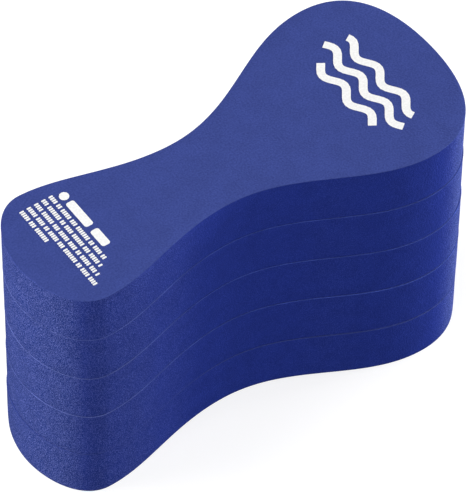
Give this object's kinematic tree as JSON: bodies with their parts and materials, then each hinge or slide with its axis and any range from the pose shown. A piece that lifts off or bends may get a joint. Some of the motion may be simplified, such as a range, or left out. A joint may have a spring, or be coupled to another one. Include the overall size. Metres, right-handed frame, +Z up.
{
  "type": "pull buoy",
  "caption": "Dumb-bell shaped swimming float of bonded foam sheets, wider at one end, with a waist recess on each side for the thighs.",
  "frame": {"origin": "middle of the footprint, on the surface that the buoy stands on", "axes": "+X along the length towards the large lobe, +Y across, +Z up through the stack of sheets to the printed face"},
  "size_m": [0.24, 0.11, 0.1502],
  "materials": {
    "foam": "matt closed-cell EVA foam, royal blue, smooth skin above and below and fine cells on the cut sides",
    "bond": "hot-melt film, blue",
    "ink": "screen-printed white, satin"
  },
  "bodies": {
    "root": {"foam_layer_1": "foam", "foam_layer_2": "foam", "foam_layer_3": "foam", "foam_layer_4": "foam", "foam_layer_5": "foam", "bond_film_1": "bond", "bond_film_2": "bond", "bond_film_3": "bond", "bond_film_4": "bond", "wave_band_1": "ink", "wave_band_2": "ink", "wave_band_3": "ink", "panel_dot": "ink", "panel_heading": "ink", "panel_line_1": "ink", "panel_line_2": "ink", "panel_line_3": "ink", "panel_line_4": "ink", "panel_line_5": "ink"}
  },
  "joints": []
}
